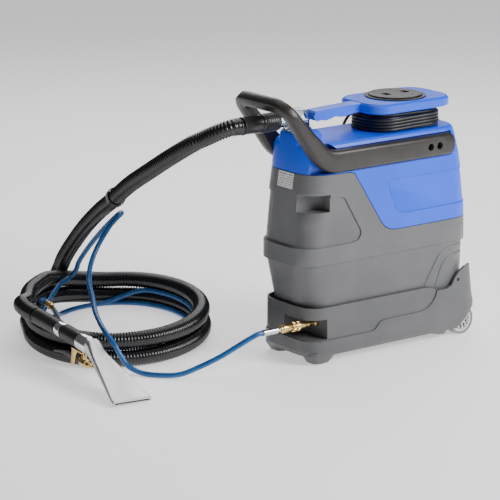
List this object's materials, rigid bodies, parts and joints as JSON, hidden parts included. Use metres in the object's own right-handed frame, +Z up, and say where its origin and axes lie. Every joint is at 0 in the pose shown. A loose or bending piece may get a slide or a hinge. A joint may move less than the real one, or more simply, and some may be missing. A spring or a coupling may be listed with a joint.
{
  "type": "spot extractor",
  "caption": "Portable carpet and upholstery spot extractor: tilting tank on a wheeled base, carry handle, cord winder, domed hose inlet, coiled hoses and upholstery hand tool.",
  "frame": {"origin": "on the floor under the middle of the machine, without its hoses and cord", "axes": "+X towards the wheels, -Y the side of the water coupling, +Z up"},
  "size_m": [1.1349, 0.9023, 0.6827],
  "materials": {
    "grey_polyethylene": "moulded grey polyethylene, fine orange-peel grain",
    "blue_polyethylene": "moulded royal blue polyethylene, satin",
    "black_plastic": "black plastic, satin",
    "handle_plastic": "dark moulded handle, satin",
    "hose_rubber": "glossy black vinyl",
    "foot_rubber": "matte rubber",
    "brass": "machined brass",
    "bright_steel": "polished",
    "zinc_plate": "zinc plated",
    "cream_plastic": "cream-grey moulded plastic",
    "wheel_tread": "grey rubber tread",
    "clear_plastic": "clear moulded plastic, faint blue",
    "label_film": "white film",
    "solution_line": "blue hose, gloss"
  },
  "bodies": {
    "base": {"axle": "zinc_plate", "base_housing": "grey_polyethylene", "bulkhead_nipple": "brass", "coupling_body": "brass", "foot_pad_left": "foot_rubber", "foot_pad_right": "foot_rubber", "front_grip": "hose_rubber", "hinge_pin_left": "zinc_plate", "hinge_pin_right": "zinc_plate", "hose_clip": "black_plastic", "hose_coil": "hose_rubber", "hose_ferrule": "bright_steel", "hose_tail": "hose_rubber", "line_fitting": "brass", "pump_head": "black_plastic", "pump_hose": "solution_line", "pump_motor": "zinc_plate", "rear_grip": "hose_rubber", "solution_line": "solution_line", "solution_line_end": "solution_line", "spray_valve": "brass", "vacuum_hose": "hose_rubber", "vacuum_motor": "zinc_plate", "wand_head": "bright_steel", "wand_tube": "bright_steel"},
    "upper": {"solution_tank": "grey_polyethylene", "recovery_tank": "blue_polyethylene", "handle": "handle_plastic", "handle_bolt_front_left": "zinc_plate", "handle_bolt_front_right": "zinc_plate", "handle_bolt_rear_left": "zinc_plate", "handle_bolt_rear_right": "zinc_plate", "cord_winder": "blue_polyethylene", "deck_ring": "black_plastic", "dome_gasket": "foot_rubber", "inlet_dome": "clear_plastic", "air_pipe": "cream_plastic", "float_cage": "cream_plastic", "tank_outlet": "brass", "rating_label": "label_film", "switch_plate": "black_plastic", "cord_gland": "hose_rubber", "power_cord_coil": "hose_rubber", "power_cord_lead": "hose_rubber", "power_cord_tail": "hose_rubber", "power_plug": "black_plastic", "hose_boot": "hose_rubber", "hose_cuff": "hose_rubber"},
    "wheel_right_body": {"wheel_right": "cream_plastic", "tyre_right": "wheel_tread"},
    "wheel_left_body": {"wheel_left": "cream_plastic", "tyre_left": "wheel_tread"},
    "fan": {"motor_fan": "bright_steel"},
    "cap": {"deck_cap": "black_plastic"},
    "ball": {"float_ball": "label_film"},
    "pump_rocker": {"pump_switch": "black_plastic"},
    "vacuum_rocker": {"vacuum_switch": "black_plastic"},
    "sleeve": {"coupling_sleeve": "brass"},
    "trigger_lever": {"trigger": "black_plastic"},
    "plunger": {"valve_plunger": "bright_steel"}
  },
  "joints": [
    {"name": "tank_tilt", "type": "hinge", "parent": "base", "child": "upper", "pos_m": [0.247, 0, 0.153], "axis": [0, 1, 0], "range_deg": [0, 30]},
    {"name": "wheel_right_spin", "type": "hinge", "parent": "base", "child": "wheel_right_body", "pos_m": [0.275, -0.081, 0.038], "axis": [0, 1, 0], "continuous": true},
    {"name": "wheel_left_spin", "type": "hinge", "parent": "base", "child": "wheel_left_body", "pos_m": [0.275, 0.081, 0.038], "axis": [0, 1, 0], "continuous": true},
    {"name": "fan_spin", "type": "hinge", "parent": "base", "child": "fan", "pos_m": [0.1, 0, 0.0303], "axis": [0, 0, 1], "continuous": true},
    {"name": "cap_lift", "type": "slide", "parent": "upper", "child": "cap", "axis": [0, 0, 1], "range_m": [0, 0.05]},
    {"name": "float_rise", "type": "slide", "parent": "upper", "child": "ball", "axis": [0, 0, 1], "range_m": [0, 0.006]},
    {"name": "pump_rocker_tilt", "type": "hinge", "parent": "upper", "child": "pump_rocker", "pos_m": [0.2918, -0.0145, 0.452], "axis": [0, 1, 0], "range_deg": [-2, 10]},
    {"name": "vacuum_rocker_tilt", "type": "hinge", "parent": "upper", "child": "vacuum_rocker", "pos_m": [0.2918, 0.0145, 0.452], "axis": [0, 1, 0], "range_deg": [-2, 10]},
    {"name": "sleeve_slide", "type": "slide", "parent": "base", "child": "sleeve", "axis": [1, 0, 0], "range_m": [0, 0.004], "stiffness_N_per_m": 600},
    {"name": "trigger_squeeze", "type": "hinge", "parent": "base", "child": "trigger_lever", "pos_m": [-0.72346, 0.2045, 0.03312], "axis": [0.9999, 0.0148, 0], "range_deg": [0, 10], "stiffness_Nm_per_rad": 0.3},
    {"name": "plunger_push", "type": "slide", "parent": "base", "child": "plunger", "axis": [0.0147, -0.9941, -0.1074], "range_m": [0, 0.0025]}
  ],
  "couplings": [
    {"joint": "plunger_push", "follows": "trigger_squeeze", "m_per_rad": 0.013}
  ]
}
